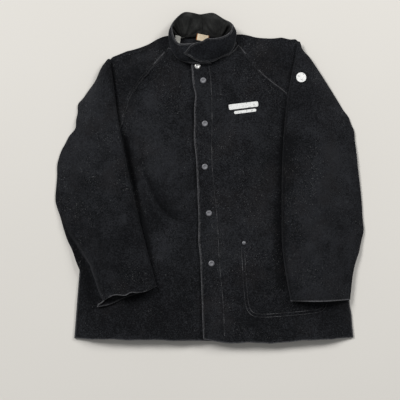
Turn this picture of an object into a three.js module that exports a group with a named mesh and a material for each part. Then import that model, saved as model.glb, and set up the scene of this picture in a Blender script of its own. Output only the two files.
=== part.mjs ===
// Leather welding jacket, buttoned up and laid on its back. Every panel is its own closed sheet.
// Millimetres. +Z up, +Y from the hem to the collar, +X to the wearer's left.
// Origin: bottom centre of the bounding box. Left and right in names are the wearer's.
import * as THREE from "three";

// Driving dimensions.
const LEATHER = 2; // split cowhide
const LINING = 1.2; // cotton twill in the collar
const CLEAR = 0.4; // between two pieces that touch
const BACK_TOP = LEATHER; // the back panel lies on the ground
const FRONT_TOP = 24; // outer surface of the front over the torso
const EDGE_TOP = 4.8; // outer surface of the front at the side and shoulder edges
const SIDE_FALL = 80; // width over which the front comes down to its side seams
const SHOULDER_FALL = 60; // width over which it comes down to the shoulder edge
const LAP_DROP = 8.5; // how far the under-lap lies below the over-lap
const LAP_FALL = 42; // width over which the right front comes down to its under-lap
const HINGE_X = 46; // fold line behind the placket's stitching
const SLEEVE_LIFT = 4; // under sleeve over the front
const SLEEVE_ROWS = 18;
const SLEEVE_LOFT = 22; // room inside a flattened sleeve
const SLEEVE_DROOP = 45; // width over which a sleeve comes down to the ground outside the body
const FACING_DEPTH = 1.6;
const FACING_WIDTH = 43;
const POCKET_DEPTH = 6;
const POCKET_CLEAR = 2;
const POCKET_CLOTH = 1.5;
const CAP_RADIUS = 7.5; // size 24 snap
const RIVET_RADIUS = 4.5;
const COLLAR_TAB_LIFT = 4.2; // the collar's closing end over its other end
const HEM_BOW = 12; // the hem hangs lower at the middle than at the side seams
const NAPE_RISE = 16; // the back panel's neck edge rises at the middle
const MAX_CELL = 36; // widest cell of a sheet's grid

const SIDES = { right: -1, left: 1 };

// Outline of the body, laid flat.
const SIDE_SEAM = {
  right: [[-331, -393], [-316, -200], [-294, 67]],
  left: [[350, -391], [346, -200], [333, 67]],
};
const RAGLAN_SEAM = {
  right: [[-294, 67], [-223, 116], [-198, 197], [-140, 272], [-100, 318]],
  left: [[333, 67], [252, 140], [186, 209], [130, 251], [71, 326]],
};
const SHOULDER_EDGE = {
  right: [[-292, 76], [-262, 200], [-243, 295], [-167, 317], [-104, 345]],
  left: [[331, 77], [275, 205], [218, 334], [145, 342], [78, 348]],
};
const PLACKET_EDGE = [[-15, -393], [-22, -202], [-29, -31], [-36, 141], [-44, 281]];
const FOLD_BOTTOM = -404;
const FOLD_TOP = 283; // the fold ends under the collar's seam
const UNDERLAP_EDGE = [[26, -398], [20, -202], [14, -31], [8, 141], [2, 281]];
const SLEEVE = {
  right: {
    inner: [[-241, 290], [-225, 165], [-209, 80], [-190, -12], [-168, -104], [-150, -175], [-127, -263]],
    outer: [[-247, 290], [-315, 172], [-356, 74], [-377, -21], [-366, -97], [-336, -190], [-272, -312]],
  },
  left: {
    inner: [[217, 329], [194, 225], [180, 120], [175, 20], [174, -80], [176, -180], [196, -300]],
    outer: [[222, 329], [296, 219], [350, 122], [366, 20], [377, -110], [357, -200], [345, -298]],
  },
};
const SNAPS = {
  throat: [-29, 271],
  chest: [-15, 236],
  upper: [-11, 131],
  middle: [-11, 26],
  lower: [-1, -87],
  bottom: [5, -209],
};
const POCKET = { left: 83, right: 284, top: -165, bottom: -339, round: 28 };

// Collar: a band from the neck seam to the top edge. Angle 0 is the centre back and 180 the centre front.
const NECK = { x: -15, y: 342, width: 85, front: 64, back: 3, frontZ: 29, sideZ: 13, backZ: 3 };
const RIM = { x: -18, y: 362, width: 78, front: 32, back: 40, frontZ: 55, sideZ: 44, backZ: 12 };
const LABEL_Z = 10;
const COLLAR_BULGE = 9;
const TAB_START = 150;
const TAB_TIP = 216;
const UNDER_END = 193;

function paint(hex, roughness, metalness = 0) {
  return new THREE.MeshStandardMaterial({ color: hex, roughness, metalness });
}
const suede = paint(0x1c1d21, 0.95);
const rawSuede = paint(0x2b2b2d, 0.97);
const twill = paint(0x33332f, 0.9);
const gunmetal = paint(0x68696e, 0.35, 1);
const brass = paint(0x8a8478, 0.4, 1);
const cloth = paint(0xb9ab92, 0.9);

const jacket = new THREE.Group();

// Points spread along a smooth curve through a list of plan points.
function along(points, parts) {
  const curve = new THREE.SplineCurve(points.map(([x, y]) => new THREE.Vector2(x, y)));
  return curve.getPoints(parts).map((point) => point.toArray());
}

function smooth(t) {
  const s = THREE.MathUtils.clamp(t, 0, 1);
  return s * s * (3 - 2 * s);
}

// The value of a table of [key, value] pairs with rising keys, straight between them.
function lookUp(table, key) {
  const next = table.findIndex(([k]) => k >= key);
  if (next === 0) return table[0][1];
  if (next < 0) return table[table.length - 1][1];
  const [k0, v0] = table[next - 1];
  const [k1, v1] = table[next];
  return v0 + ((v1 - v0) * (key - k0)) / (k1 - k0);
}

// Signed volume of an indexed triangle mesh.
function volumeOf(points, faces) {
  return faces.reduce((sum, [a, b, c]) => {
    const cross = new THREE.Vector3().crossVectors(points[b], points[c]);
    return sum + points[a].dot(cross) / 6;
  }, 0);
}

// A closed solid between two grids of points that have the same rows and columns.
function slab(upper, lower) {
  const rows = upper.length;
  const columns = upper[0].length;
  const points = [...upper.flat(), ...lower.flat()];
  const under = rows * columns;
  const at = (row, column) => row * columns + column;
  const faces = [];
  const quad = (a, b, c, d) => faces.push([a, b, c], [a, c, d]);
  for (let r = 0; r + 1 < rows; r++)
    for (let c = 0; c + 1 < columns; c++) {
      const [p, q, s, t] = [at(r, c), at(r, c + 1), at(r + 1, c + 1), at(r + 1, c)];
      quad(p, q, s, t);
      quad(under + p, under + t, under + s, under + q);
    }
  const rim = [];
  for (let c = 0; c + 1 < columns; c++) rim.push(at(0, c));
  for (let r = 0; r + 1 < rows; r++) rim.push(at(r, columns - 1));
  for (let c = columns - 1; c > 0; c--) rim.push(at(rows - 1, c));
  for (let r = rows - 1; r > 0; r--) rim.push(at(r, 0));
  rim.forEach((p, i) => {
    const q = rim[(i + 1) % rim.length];
    quad(q, p, under + p, under + q);
  });
  const outward = volumeOf(points, faces) > 0 ? faces : faces.map(([a, b, c]) => [a, c, b]);
  const geometry = new THREE.BufferGeometry().setFromPoints(points);
  geometry.setIndex(outward.flat());
  geometry.computeVertexNormals();
  return geometry;
}

function add(name, geometry, material) {
  const mesh = new THREE.Mesh(geometry, material);
  mesh.name = name;
  jacket.add(mesh);
}

// Straight steps through a list of points, none longer than MAX_CELL, keeping every point.
function stepsBetween(lists) {
  const spans = lists[0].length - 1;
  const steps = [];
  for (let i = 0; i < spans; i++) {
    const longest = Math.max(...lists.map((list) => list[i].distanceTo(list[i + 1])));
    const parts = Math.max(1, Math.ceil(longest / MAX_CELL));
    for (let k = 0; k < parts; k++) steps.push(i + k / parts);
  }
  steps.push(spans);
  return steps;
}

function pointAt(list, step) {
  const i = Math.min(Math.floor(step), list.length - 2);
  return new THREE.Vector2().lerpVectors(list[i], list[i + 1], step - i);
}

// Plan grid from rows of [x, y] points. Every row has the same number of points.
function planGrid(rows) {
  const vectors = rows.map((row) => row.map(([x, y]) => new THREE.Vector2(x, y)));
  const columns = vectors[0].map((_, c) => vectors.map((row) => row[c]));
  const down = stepsBetween(columns);
  const across = stepsBetween(vectors);
  return down.map((rowStep) => {
    const line = columns.map((column) => pointAt(column, rowStep));
    return across.map((step) => pointAt(line, step));
  });
}

// A sheet over a plan grid, with its outer surface at top(x, y, u, v).
// u runs from 0 to 1 across a row, and v over the rows.
function sheet(name, rows, top, depth, material) {
  const grid = planGrid(rows);
  const last = grid[0].length - 1;
  const lift = (drop) =>
    grid.map((line, r) =>
      line.map(({ x, y }, c) => {
        const z = top(x, y, c / last, r / (grid.length - 1));
        return new THREE.Vector3(x, y, z - drop);
      }),
    );
  add(name, slab(lift(0), lift(depth)), material);
}

// Smooth outlines: side seam, raglan seam and shoulder edge of each side.
const SEAM_ROWS = 13;
const RAGLAN_ROWS = 8;
const sideSeam = { right: along(SIDE_SEAM.right, SEAM_ROWS), left: along(SIDE_SEAM.left, SEAM_ROWS) };
const raglanSeam = {
  right: along(RAGLAN_SEAM.right, RAGLAN_ROWS),
  left: along(RAGLAN_SEAM.left, RAGLAN_ROWS),
};
const outline = (side) => [...sideSeam[side], ...raglanSeam[side].slice(1)];

// Heights of the front.
const byY = (list) => list.map(([x, y]) => [y, x]).sort((a, b) => a[0] - b[0]);
const outerEdge = {
  right: byY([...SIDE_SEAM.right, ...SHOULDER_EDGE.right.slice(1, 3)]),
  left: byY([...SIDE_SEAM.left, ...SHOULDER_EDGE.left.slice(1, 3)]),
};
const shoulderLine = [...SHOULDER_EDGE.right.slice(2), ...SHOULDER_EDGE.left.slice(2).reverse()];
const placketEdge = byY(PLACKET_EDGE);

function insideSide(side, x, y) {
  return (lookUp(outerEdge[side], y) - x) * SIDES[side];
}

function frontTop(x, y) {
  const rightSide = smooth(insideSide("right", x, y) / SIDE_FALL);
  const leftSide = smooth(insideSide("left", x, y) / SIDE_FALL);
  const shoulder = smooth((lookUp(shoulderLine, x) - y) / SHOULDER_FALL);
  return EDGE_TOP + (FRONT_TOP - EDGE_TOP) * rightSide * leftSide * shoulder;
}

function rightFrontTop(x, y) {
  const lap = smooth((x - lookUp(placketEdge, y) + LAP_FALL) / LAP_FALL);
  return frontTop(x, y) - LAP_DROP * lap;
}

function sleeveGround(side, x, y) {
  const inside = insideSide(side, x, y);
  const onBody = frontTop(x, y) + SLEEVE_LIFT;
  return inside > 0 ? onBody : (EDGE_TOP + SLEEVE_LIFT) * (1 - smooth(-inside / SLEEVE_DROOP));
}

// The torso: back, two fronts, the over-lap and its facing.
function torso() {
  const back = outline("right").map((right, i, list) => {
    const left = outline("left")[i];
    const bow = i === 0 ? -HEM_BOW : i === list.length - 1 ? NAPE_RISE : 0;
    const middle = [(right[0] + left[0]) / 2, (right[1] + left[1]) / 2 + bow];
    return [right, middle, left];
  });
  add("back_panel", slab(flat(back, BACK_TOP), flat(back, 0)), suede);

  const rowCount = SEAM_ROWS + RAGLAN_ROWS;
  const lapEdge = along(UNDERLAP_EDGE, rowCount);
  const rightRows = outline("right").map((point, i) => [point, lapEdge[i]]);
  sheet("right_front_panel", rightRows, rightFrontTop, LEATHER, suede);

  const foldY = (i) => FOLD_BOTTOM + ((FOLD_TOP - FOLD_BOTTOM) * i) / rowCount;
  const leftRows = outline("left").map((point, i) => [[HINGE_X, foldY(i)], point]);
  sheet("left_front_panel", leftRows, frontTop, LEATHER, suede);

  const placket = along(PLACKET_EDGE, rowCount);
  const placketRows = placket.map((point, i) => [point, [HINGE_X - CLEAR, foldY(i)]]);
  sheet("front_placket", placketRows, frontTop, LEATHER, suede);

  const facingTop = (x, y) => frontTop(x, y) - LEATHER - CLEAR;
  const facingRows = placket.map(([x, y]) => [[x + 1, y + 1], [x + FACING_WIDTH, y + 1]]);
  sheet("placket_facing", facingRows, facingTop, FACING_DEPTH, rawSuede);
}

function flat(rows, z) {
  return rows.map((row) => row.map(([x, y]) => new THREE.Vector3(x, y, z)));
}

// Moves a list of plan points by a fixed step.
function shifted(list, dx, dy) {
  return list.map(([x, y]) => [x + dx, y + dy]);
}

// The parts of the raglan sleeves that stay on the shoulder, front and back.
function shoulder(side) {
  const away = SIDES[side];
  const seam = shifted(raglanSeam[side], away, 1.5);
  const edge = along(SHOULDER_EDGE[side], RAGLAN_ROWS);
  const rows = seam.map((point, i) => [point, edge[i]]);
  sheet(`${side}_shoulder_front`, rows, frontTop, LEATHER, suede);
  add(`${side}_shoulder_back`, slab(flat(rows, BACK_TOP), flat(rows, 0)), suede);
}

// A flattened sleeve, from the shoulder point to the cuff: an under half and a top half.
function sleeve(side) {
  const inner = along(SLEEVE[side].inner, SLEEVE_ROWS);
  const outer = along(SLEEVE[side].outer, SLEEVE_ROWS);
  const rows = inner.map((point, i) => [point, outer[i]]);
  const under = (x, y) => sleeveGround(side, x, y) + LEATHER;
  const top = (x, y, u, v) => {
    const room = SLEEVE_LOFT * Math.sin(Math.PI * u) * smooth(0.15 + v * 4);
    return under(x, y) + CLEAR + LEATHER + room;
  };
  sheet(`${side}_under_sleeve`, rows, under, LEATHER, suede);
  sheet(`${side}_top_sleeve`, rows, top, LEATHER, suede);
}

// The collar's outer surface at an angle in degrees and a share of the way up the band.
function ringPoint(ring, angle) {
  const turn = THREE.MathUtils.degToRad(angle);
  const ahead = -Math.cos(turn);
  const y = ahead > 0 ? ring.y - ring.front * ahead : ring.y - ring.back * ahead;
  const end = ahead > 0 ? ring.frontZ : ring.backZ;
  const z = THREE.MathUtils.lerp(ring.sideZ, end, smooth(Math.abs(ahead)));
  return new THREE.Vector3(ring.x + ring.width * Math.sin(turn), y, z);
}

function collarPoint(angle, up) {
  const point = ringPoint(NECK, angle).lerp(ringPoint(RIM, angle), up);
  const turn = THREE.MathUtils.degToRad(angle);
  const bulge = COLLAR_BULGE * Math.sin(Math.PI * up) * Math.abs(Math.sin(turn));
  const outward = new THREE.Vector3(Math.sin(turn), Math.min(Math.cos(turn), 0), 0.3);
  return point.addScaledVector(outward, bulge);
}

function collarInward(angle, up) {
  const along = collarPoint(angle + 1, up).sub(collarPoint(angle - 1, up));
  const rise = collarPoint(angle, up + 0.02).sub(collarPoint(angle, up - 0.02));
  return along.cross(rise).normalize();
}

// A layer of the collar band, between two depths inside its outer surface.
function collarLayer(name, angles, lift, depths, material) {
  const ups = [0, 0.25, 0.5, 0.75, 1];
  const grid = (depth) =>
    ups.map((up) =>
      angles(up).map((angle) => {
        const inward = collarInward(angle, up);
        return collarPoint(angle, up).addScaledVector(inward, depth - lift(angle));
      }),
    );
  add(name, slab(grid(depths[0]), grid(depths[1])), material);
}

// Evenly spread angles from one end to the other.
function spread(from, to, parts) {
  return Array.from({ length: parts + 1 }, (_, i) => from + ((to - from) * i) / parts);
}

function collar() {
  const shell = [0, LEATHER];
  const inner = [LEATHER + CLEAR, LEATHER + CLEAR + LINING];
  const level = () => 0;
  const tabLift = (angle) => COLLAR_TAB_LIFT * smooth((angle - TAB_START + 30) / 34) * 1.25;
  const rightEnd = () => spread(-1, -UNDER_END, 18);
  const leftEnd = () => spread(1, TAB_START - 1, 12);
  const tabEnd = (up) => spread(TAB_START + 1, TAB_TIP - 44 * up, 7);
  collarLayer("collar_right", rightEnd, level, shell, suede);
  collarLayer("collar_right_lining", rightEnd, level, inner, twill);
  collarLayer("collar_left", leftEnd, tabLift, shell, suede);
  collarLayer("collar_left_lining", leftEnd, tabLift, inner, twill);
  collarLayer("collar_tab", tabEnd, tabLift, shell, suede);
  collarLayer("collar_tab_lining", tabEnd, tabLift, inner, twill);
}

// A round metal piece from a closed profile of [radius, height] pairs, standing at a point.
function turned(name, profile, [x, y], z, material) {
  const geometry = new THREE.LatheGeometry(profile.map(([r, h]) => new THREE.Vector2(r, h)), 12);
  geometry.rotateX(Math.PI / 2);
  geometry.translate(x, y, z);
  add(name, geometry, material);
}

const CAP_PROFILE = [[0, 0], [CAP_RADIUS, 0], [CAP_RADIUS - 0.4, 1.2], [CAP_RADIUS * 0.55, 2.3], [0, 2.7]];
const SOCKET_PROFILE = [[0, 1.9], [3.7, 1.9], [3.7, 0], [5.8, 0], [5.8, 2.6], [0, 2.6]];
const STUD_PROFILE = [[0, 0], [5.2, 0], [5.2, 0.7], [2.7, 1], [3.1, 2], [0, 2.4]];
const POST_PROFILE = [[0, 0], [4, 0], [5.4, 1.1], [0, 1.1]];
const RIVET_PROFILE = [[0, 0], [RIVET_RADIUS, 0], [RIVET_RADIUS * 0.7, 1.2], [0, 1.6]];

// Four-part snaps: cap and socket on the over-lap, stud and post on the under-lap.
function snaps() {
  for (const [name, [x, y]] of Object.entries(SNAPS)) {
    const top = frontTop(x, y);
    const facingUnder = top - LEATHER - CLEAR - FACING_DEPTH;
    const lapTop = rightFrontTop(x, y);
    turned(`snap_cap_${name}`, CAP_PROFILE, [x, y], top + CLEAR, gunmetal);
    turned(`snap_socket_${name}`, SOCKET_PROFILE, [x, y], facingUnder - CLEAR - 2.6, brass);
    turned(`snap_stud_${name}`, STUD_PROFILE, [x, y], lapTop + 0.3, brass);
    turned(`snap_post_${name}`, POST_PROFILE, [x, y], lapTop - LEATHER - CLEAR - 1.1, gunmetal);
  }
}

// The inside pocket: a bag sewn round three sides to the left front, open towards the collar.
function pocket() {
  const { left, right, top, bottom, round } = POCKET;
  const row = (y, inset) => [left + inset, left + round, right - round, right - inset].map((x) => [x, y]);
  const rows = [row(top, 0), row(bottom + round, 0), row(bottom, round * 0.7)];
  const bagTop = (x, y) => {
    const fromSides = smooth(Math.min(x - left, right - x) / round);
    const fromBottom = smooth((y - bottom) / round);
    return frontTop(x, y) - LEATHER - POCKET_CLEAR - POCKET_DEPTH * fromSides * fromBottom;
  };
  sheet("pocket_bag", rows, bagTop, POCKET_CLOTH, cloth);
  for (const [name, x] of [["inner", left + 1], ["outer", right - 8]]) {
    const y = top + 6;
    const z = frontTop(x, y);
    turned(`pocket_rivet_${name}`, RIVET_PROFILE, [x, y], z + 1, gunmetal);
    turned(`pocket_burr_${name}`, POST_PROFILE, [x, y], z - LEATHER - 2.6, brass);
  }
}

// Labels sewn inside the back of the neck.
function labels() {
  const label = [[[-32, 332], [-2, 334]], [[-33, 353], [-3, 355]]];
  add("neck_label", slab(flat(label, LABEL_Z + 0.8), flat(label, LABEL_Z)), cloth);
  const tag = [[[-81, 323], [-68, 319]], [[-79, 340], [-66, 336]]];
  add("size_tag", slab(flat(tag, LABEL_Z + 0.8), flat(tag, LABEL_Z)), cloth);
}

torso();
Object.keys(SIDES).forEach(shoulder);
Object.keys(SIDES).forEach(sleeve);
collar();
snaps();
pocket();
labels();

const box = new THREE.Box3().setFromObject(jacket);
const centre = box.getCenter(new THREE.Vector3());
jacket.position.set(-centre.x, -centre.y, -box.min.z);

export default jacket;
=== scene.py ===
"""A leather welding jacket, buttoned and laid on its back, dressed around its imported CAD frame.

Metres, +Z up, +Y from hem to collar, +X to the wearer's left. Left and right in names are the wearer's.
"""

import math
import random

import bmesh
import bpy
import numpy as np
from mathutils import Matrix, Vector, noise
from mathutils.bvhtree import BVHTree
from mathutils.kdtree import KDTree


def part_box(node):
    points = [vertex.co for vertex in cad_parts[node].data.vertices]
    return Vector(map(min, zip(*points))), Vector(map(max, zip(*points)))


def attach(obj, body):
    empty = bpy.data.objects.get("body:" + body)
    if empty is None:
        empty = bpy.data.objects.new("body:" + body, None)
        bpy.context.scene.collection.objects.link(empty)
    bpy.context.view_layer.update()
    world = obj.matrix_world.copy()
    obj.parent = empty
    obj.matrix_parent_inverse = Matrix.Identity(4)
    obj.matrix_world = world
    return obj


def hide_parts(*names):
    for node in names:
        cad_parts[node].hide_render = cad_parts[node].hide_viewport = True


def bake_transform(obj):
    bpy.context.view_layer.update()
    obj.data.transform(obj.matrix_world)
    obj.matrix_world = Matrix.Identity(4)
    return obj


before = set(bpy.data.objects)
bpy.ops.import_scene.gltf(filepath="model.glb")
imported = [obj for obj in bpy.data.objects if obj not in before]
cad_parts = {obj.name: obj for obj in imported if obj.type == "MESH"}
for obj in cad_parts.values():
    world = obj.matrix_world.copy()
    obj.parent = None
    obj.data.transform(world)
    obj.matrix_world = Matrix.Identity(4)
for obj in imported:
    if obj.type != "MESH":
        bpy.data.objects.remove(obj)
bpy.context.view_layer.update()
MM = 0.001

LEATHER = 1.8 * MM
LINING = 1.0 * MM
STITCH_PITCH = 3.6 * MM
STITCH_LENGTH = 3.0 * MM
THREAD_RADIUS = 0.5 * MM
SIDES = {"right": -1, "left": 1}
SNAP_NAMES = ("throat", "chest", "upper", "middle", "lower", "bottom")


# ---------------- mesh tools


def new_object(name, mesh):
    obj = bpy.data.objects.new(name, mesh)
    bpy.context.scene.collection.objects.link(obj)
    return obj


def object_of(name, points, faces):
    mesh = bpy.data.meshes.new(name)
    mesh.from_pydata([tuple(p) for p in points], [], [tuple(f) for f in faces])
    mesh.update()
    return new_object(name, mesh)


def object_from(bm, name):
    """Turns a bmesh, which is used up, into an object."""
    mesh = bpy.data.meshes.new(name)
    bm.to_mesh(mesh)
    bm.free()
    return new_object(name, mesh)


def grid_faces(steps):
    """The quads of a square grid of points, row by row."""
    row = steps + 1
    return [(a, a + 1, a + row + 1, a + row) for j in range(steps) for a in range(j * row, j * row + steps)]


def points_of(obj, field="co"):
    flat = np.zeros(len(obj.data.vertices) * 3)
    obj.data.vertices.foreach_get(field, flat)
    return flat.reshape(-1, 3)


def set_points(obj, points):
    obj.data.vertices.foreach_set("co", np.asarray(points, dtype=np.float32).ravel())
    obj.data.update()


def normals_of(obj):
    return points_of(obj, "normal")


def modify(obj, kind, **settings):
    """Adds a modifier with those settings and applies it."""
    modifier = obj.modifiers.new(kind.lower(), kind)
    for name, value in settings.items():
        setattr(modifier, name, value)
    graph = bpy.context.evaluated_depsgraph_get()
    mesh = bpy.data.meshes.new_from_object(obj.evaluated_get(graph))
    old = obj.data
    obj.modifiers.clear()
    obj.data = mesh
    bpy.data.meshes.remove(old)
    return obj


def subdivide(obj, levels):
    return modify(obj, "SUBSURF", levels=levels, render_levels=levels, boundary_smooth="PRESERVE_CORNERS")


def thicken(obj, thickness):
    """Gives a sheet its thickness, inwards from its outer surface."""
    return modify(obj, "SOLIDIFY", thickness=thickness, offset=-1, use_even_offset=False)


def round_rim(obj):
    """Takes the sharp corners off the cut edges of a thick sheet."""
    return modify(
        obj,
        "BEVEL",
        width=0.45 * MM,
        segments=2,
        limit_method="ANGLE",
        angle_limit=math.radians(50),
        use_clamp_overlap=True,
    )


def smoothstep(t):
    t = np.clip(t, 0.0, 1.0)
    return t * t * (3 - 2 * t)


def bell(distance, width):
    return np.exp(-((distance / width) ** 2))


def kd_tree(points):
    tree = KDTree(len(points))
    for i, p in enumerate(points):
        tree.insert(p, i)
    tree.balance()
    return tree


# ---------------- sheets from the frame


WELD = 0.01 * MM  # joins corners that are the same point


def loose_faces(node, keep):
    """A bmesh with the faces of a CAD node that keep(face) accepts, joined back into quads."""
    bm = bmesh.new()
    bm.from_mesh(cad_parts[node].data)
    bmesh.ops.remove_doubles(bm, verts=bm.verts, dist=WELD)
    bm.normal_update()
    drop = [face for face in bm.faces if not keep(face)]
    bmesh.ops.delete(bm, geom=drop, context="FACES")
    bmesh.ops.join_triangles(bm, faces=bm.faces, angle_face_threshold=3.1, angle_shape_threshold=3.1)
    return bm


def faces_up(face):
    return face.normal.z > 0.05


def faces_down(face):
    return face.normal.z < -0.05


def sheet_of(name, nodes, weld=WELD, levels=3):
    """The outer sheet of one or more CAD nodes, welded together and subdivided."""
    joined = bmesh.new()
    for node in nodes:
        add_part(joined, loose_faces(node, faces_up))
    meet_borders(joined, weld)
    bmesh.ops.remove_doubles(joined, verts=joined.verts, dist=weld)
    return subdivide(object_from(joined, name), levels)


def add_part(joined, part):
    mesh = bpy.data.meshes.new("part")
    part.to_mesh(mesh)
    part.free()
    joined.from_mesh(mesh)
    bpy.data.meshes.remove(mesh)


def meet_borders(bm, reach):
    """Splits a border edge wherever a corner of the neighbouring sheet lies on it."""
    for vert in [v for v in bm.verts if v.is_boundary]:
        for edge in [e for e in bm.edges if e.is_boundary and vert not in e.verts]:
            a, b = edge.verts
            step = b.co - a.co
            t = (vert.co - a.co).dot(step) / max(step.length_squared, 1e-12)
            if 0.02 < t < 0.98 and (a.co + step * t - vert.co).length < reach:
                _, new = bmesh.utils.edge_split(edge, a, t)
                new.co = vert.co
                break


def middle_of(points):
    points = list(points)
    return sum(points, Vector()) / len(points)


COLLAR_RIM = 2.3 * MM  # rim faces of the band are narrower than this
COLLAR_WELD = 4.5 * MM  # joins the collar's two parts across their gap
BACK_RIM = [(-66, 24, 9.5), (-22, 12, -3.0), (10, 13, 3.5), (44, 20, -4.5)]  # mm: middle, width, rise
COLLAR_SIDES = [((-106, 350), (6, 0), 28), ((73, 345), (-7, 0), 28)]
COLLAR_END = [((-44, 297), (0, 17), 20), ((-66, 287), (1, 7), 14), ((-26, 311), (-2, 9), 13)]
COLLAR_END += [((-10, 326), (0, 3), 12)]
COLLAR_BASE = [((-43, 279), (0, -5), 15), ((32, 286), (0, 5), 16)]
NECK_MIDDLE = Vector((-16.5, 350, 0)) * MM
NAPE_GAP = 1.45 * MM


def band_sheet(name, nodes, outside, levels):
    """One skin of the collar band: the side that faces away from the neck, or the one that faces it."""
    joined = bmesh.new()
    for number, node in enumerate(nodes):
        part = loose_faces(node, lambda face: min(e.calc_length() for e in face.edges) > COLLAR_RIM)
        centre = middle_of(f.calc_center_median() for f in part.faces)
        for island in islands_of(part):
            share = sum(f.normal.dot(f.calc_center_median() - centre) for f in island)
            if (share > 0) != outside:
                bmesh.ops.delete(part, geom=island, context="FACES")
        if number:
            pull_together(joined, part)
        add_part(joined, part)
    bmesh.ops.remove_doubles(joined, verts=joined.verts, dist=WELD)
    meet_at_nape(joined)
    return shape_collar(subdivide(object_from(joined, name), levels))


def pull_together(bm, part):
    """Moves the facing border of a second part on to the first one's, corner by corner."""
    rim = [vert for vert in part.verts if vert.is_boundary]
    for vert in [v for v in bm.verts if v.is_boundary]:
        nearest = min(rim, key=lambda other: (other.co - vert.co).length)
        if (nearest.co - vert.co).length < COLLAR_WELD:
            nearest.co = vert.co


def meet_at_nape(bm):
    """Brings the end at the middle of the back up to the seam there."""
    middle = sum((v.co.x for v in bm.verts)) / len(bm.verts)
    away = 1 if middle < NECK_MIDDLE.x else -1
    for vert in bm.verts:
        if vert.co.y > NECK_MIDDLE.y and abs(vert.co.x - NECK_MIDDLE.x) < 4 * MM:
            vert.co.x += away * NAPE_GAP


def shape_collar(obj):
    """How this collar lies: front rim pulled down, back rim uneven, and the closing end's tip drawn in."""
    points = points_of(obj)
    around = points[:, :2] - np.array(NECK_MIDDLE)[:2]
    ahead = -around[:, 1] / np.maximum(np.hypot(around[:, 0], around[:, 1]), 1e-6)
    up = smoothstep((points[:, 2] - 10 * MM) / (38 * MM))
    low_up = smoothstep((points[:, 1] - 358 * MM) / (38 * MM))
    x = points[:, 0] / MM
    over = "left" in obj.name
    points[:, 1] += (3.0 if over else -6.5) * MM * up * smoothstep(ahead / 0.7)
    for middle, width, rise in BACK_RIM:
        points[:, 1] += rise * MM * low_up * bell(x - middle, width)
    points[:, 0] += 3.0 * MM * low_up * bell(x + 80, 22)
    nudge(points, COLLAR_SIDES)
    if over:
        before = points.copy()
        nudge(points, COLLAR_END)
        points[:, 2] += 0.5 * (points[:, 1] - before[:, 1])
        points[:, 2] += 5.5 * MM * bell(x + 58, 30)
        nudge(points, COLLAR_BASE)
    else:
        in_front = smoothstep((368 * MM - points[:, 1]) / (24 * MM))
        drop = 17 * MM * up * bell(x + 80, 32) * in_front
        points[:, 1] -= drop
        points[:, 2] -= 0.25 * drop
    set_points(obj, points)
    return obj


def islands_of(bm):
    """Lists of connected faces."""
    left = set(bm.faces)
    groups = []
    while left:
        group, todo = [], [left.pop()]
        while todo:
            face = todo.pop()
            group.append(face)
            for edge in face.edges:
                for other in edge.link_faces:
                    if other in left:
                        left.remove(other)
                        todo.append(other)
        groups.append(group)
    return groups


# ---------------- sculpting


def plan_distance(points, place):
    """Distance in plan from each point to a place in mm."""
    return np.hypot(points[:, 0] - place[0] * MM, points[:, 1] - place[1] * MM)


def distances(points, tree):
    return np.array([tree.find(p)[2] for p in points])


def fade_at_ends(share, ends):
    """From 0 to 1 and back along a path, over that share of it at each end."""
    return smoothstep(share / ends) * smoothstep((1 - share) / ends)


def along_path(points, path):
    """Each point's distance in plan from a path in mm, positive on its left, and its share along it."""
    best = np.full(len(points), np.inf)
    signed = np.zeros(len(points))
    share = np.zeros(len(points))
    path = np.asarray(path, float) * MM
    lengths = np.linalg.norm(np.diff(path, axis=0), axis=1)
    run = np.concatenate([[0], np.cumsum(lengths)])
    for i, length in enumerate(lengths):
        start, step = path[i], path[i + 1] - path[i]
        t = np.clip(((points[:, :2] - start) @ step) / length**2, 0, 1)
        away = points[:, :2] - start - t[:, None] * step
        distance = np.hypot(away[:, 0], away[:, 1])
        side = np.sign(step[0] * away[:, 1] - step[1] * away[:, 0])
        closer = distance < best
        best[closer] = distance[closer]
        signed[closer] = (distance * side)[closer]
        share[closer] = ((run[i] + t * length) / run[-1])[closer]
    return signed, share


def fold_heights(points, folds):
    """Ridges and valleys along paths. Each fold is (path, height, width on its left, on its right) in mm."""
    total = np.zeros(len(points))
    for path, height, left, right in folds:
        signed, share = along_path(points, path)
        width = np.where(signed > 0, left, right) * MM
        total += height * MM * np.exp(-0.5 * (signed / width) ** 2) * fade_at_ends(share, 0.25)
    return total


def ripples(points, size, height, seed):
    """Soft uneven waves of about that size and height, in mm."""
    at = Vector((seed * 3.7, seed * -1.9, seed * 0.7))
    return height * MM * np.array([noise.noise(Vector(p) / (size * MM) + at) for p in points])


def leather_ripples(points, heights, seeds):
    """Large, middling and small waves of the leather."""
    return sum(ripples(points, *wave) for wave in zip((75, 26, 9), heights, seeds))


def raise_by(obj, heights):
    points = points_of(obj)
    points[:, 2] += heights
    set_points(obj, points)


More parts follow.
